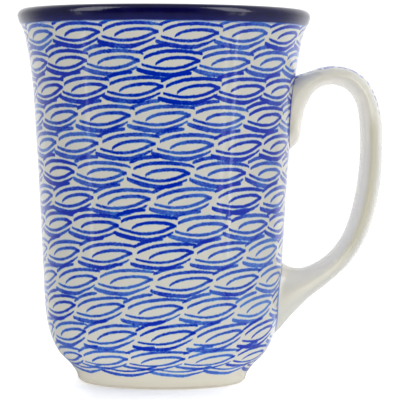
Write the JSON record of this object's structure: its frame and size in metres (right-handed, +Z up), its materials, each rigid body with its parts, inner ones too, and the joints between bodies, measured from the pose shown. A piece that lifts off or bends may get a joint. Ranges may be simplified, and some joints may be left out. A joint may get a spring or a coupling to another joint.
{
  "type": "stoneware mug",
  "caption": "Glazed stoneware mug with a flared wall, rolled navy lip, turned foot ring and a pulled strap handle, cream with stamped cobalt scallops.",
  "frame": {"origin": "centre of the foot ring on the plane that the mug stands on, which is where the cup's axis meets the table", "axes": "+Z up along the cup's axis, +X towards the handle, +Y away from the viewer who has the handle on the right"},
  "size_m": [0.119, 0.0952, 0.1206],
  "materials": {
    "clay": "fired stoneware, bare and matte on the foot ring's face",
    "handle_clay": "fired stoneware under glaze",
    "joining_slip": "fired slip, hidden in the joint",
    "decorated_glaze": "glossy clear glaze over cream with stamped cobalt scallops",
    "navy_glaze": "glossy, near-black navy band",
    "cream_glaze": "glossy cream",
    "foot_glaze": "glossy cream, thin and slightly uneven",
    "handle_glaze": "glossy cream with stamped cobalt marks on the outer face"
  },
  "bodies": {
    "root": {"body": "clay", "handle": "handle_clay", "upper_slip_joint": "joining_slip", "lower_slip_joint": "joining_slip", "outer_glaze": "decorated_glaze", "rim_glaze": "navy_glaze", "inner_glaze": "cream_glaze", "foot_recess_glaze": "foot_glaze", "handle_glaze": "handle_glaze"}
  },
  "joints": []
}
